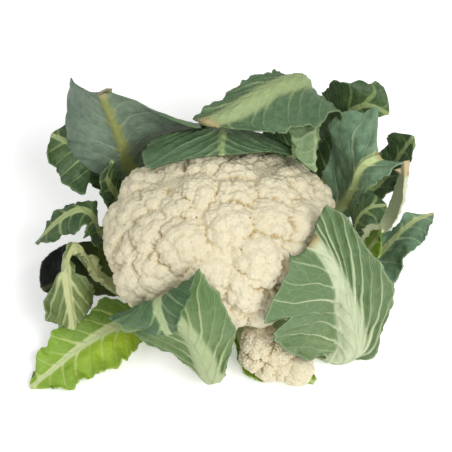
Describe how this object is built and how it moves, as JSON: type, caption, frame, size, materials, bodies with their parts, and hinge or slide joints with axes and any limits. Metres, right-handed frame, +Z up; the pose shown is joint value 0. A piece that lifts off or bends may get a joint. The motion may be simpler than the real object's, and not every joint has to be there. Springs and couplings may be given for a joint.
{
  "type": "cauliflower",
  "caption": "Whole trimmed cauliflower: a cream curd of rounded florets in a ragged jacket of blue-green leaves, standing on its cut stalk.",
  "frame": {"origin": "centre of the cut end of the stalk, on the surface that the cauliflower stands on", "axes": "+X to the right along the longest side, +Y to the back, +Z up through the curd"},
  "size_m": [0.3025, 0.221, 0.1451],
  "materials": {
    "curd": "matt, fine grained",
    "stalk": "matt, fibrous",
    "leaf": "waxy, with pale veins",
    "leaf_lime": "satin, with pale veins"
  },
  "bodies": {
    "root": {"curd": "curd", "leaf_back": "leaf", "leaf_back_inner": "leaf", "leaf_back_right": "leaf", "leaf_cut_stem": "leaf", "leaf_far_right": "leaf", "leaf_front_left": "leaf", "leaf_front_right": "leaf", "leaf_front_small": "leaf_lime", "leaf_front_small_right": "leaf_lime", "leaf_left": "leaf", "leaf_left_drooping": "leaf", "leaf_left_low": "leaf", "leaf_left_strip": "leaf", "leaf_low_left": "leaf_lime", "leaf_over_curd": "leaf", "leaf_right_frill": "leaf_lime", "leaf_right_low": "leaf", "leaf_right_ruffled": "leaf", "leaf_right_stub": "leaf", "leaf_right_upper": "leaf", "leaf_upper_left": "leaf", "side_floret_branch": "stalk", "side_florets": "curd", "stalk": "stalk"}
  },
  "joints": []
}
